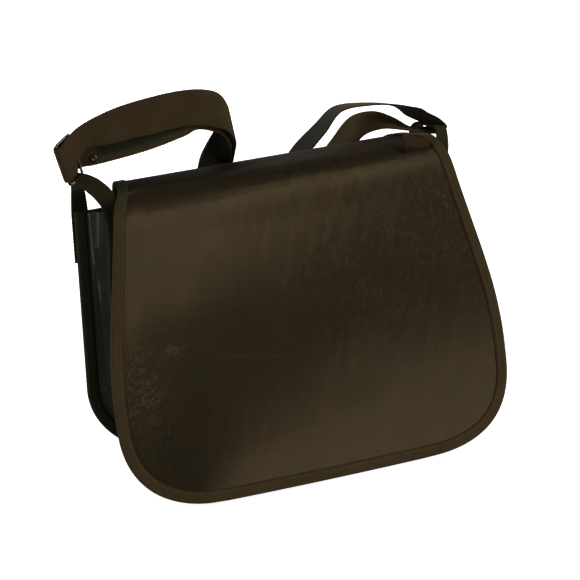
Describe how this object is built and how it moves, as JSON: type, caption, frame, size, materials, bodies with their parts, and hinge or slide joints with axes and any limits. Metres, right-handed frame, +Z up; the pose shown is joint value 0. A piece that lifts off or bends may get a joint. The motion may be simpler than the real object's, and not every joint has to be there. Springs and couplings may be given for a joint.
{
  "type": "hunting bag",
  "caption": "Leather shoulder bag with a broad rounded flap, taped edges, a pleated side gusset and a doubled webbing strap threaded through webbing loops and a metal slide.",
  "frame": {"origin": "middle of the flat patch of the gusset's bottom on which the bag stands", "axes": "+Z up, -Y towards the front where the flap hangs, +X to the right seen from the front"},
  "size_m": [0.4326, 0.1773, 0.3882],
  "materials": {
    "leather": "waxed, semi-gloss, fine pebble grain",
    "gusset_leather": "dark, semi-gloss",
    "tape": "ribbed woven tape, matt",
    "webbing": "twill webbing, matt",
    "metal": "tarnished, satin",
    "label": "bare woven tab, matt"
  },
  "bodies": {
    "root": {"flap": "leather", "flap_binding": "tape", "back_panel": "leather", "front_panel": "leather", "gusset": "gusset_leather", "back_binding": "tape", "front_binding": "tape", "loop_left": "webbing", "loop_right": "webbing", "strap_slide": "metal", "strap": "webbing", "strap_rivet": "metal", "label": "label"}
  },
  "joints": []
}
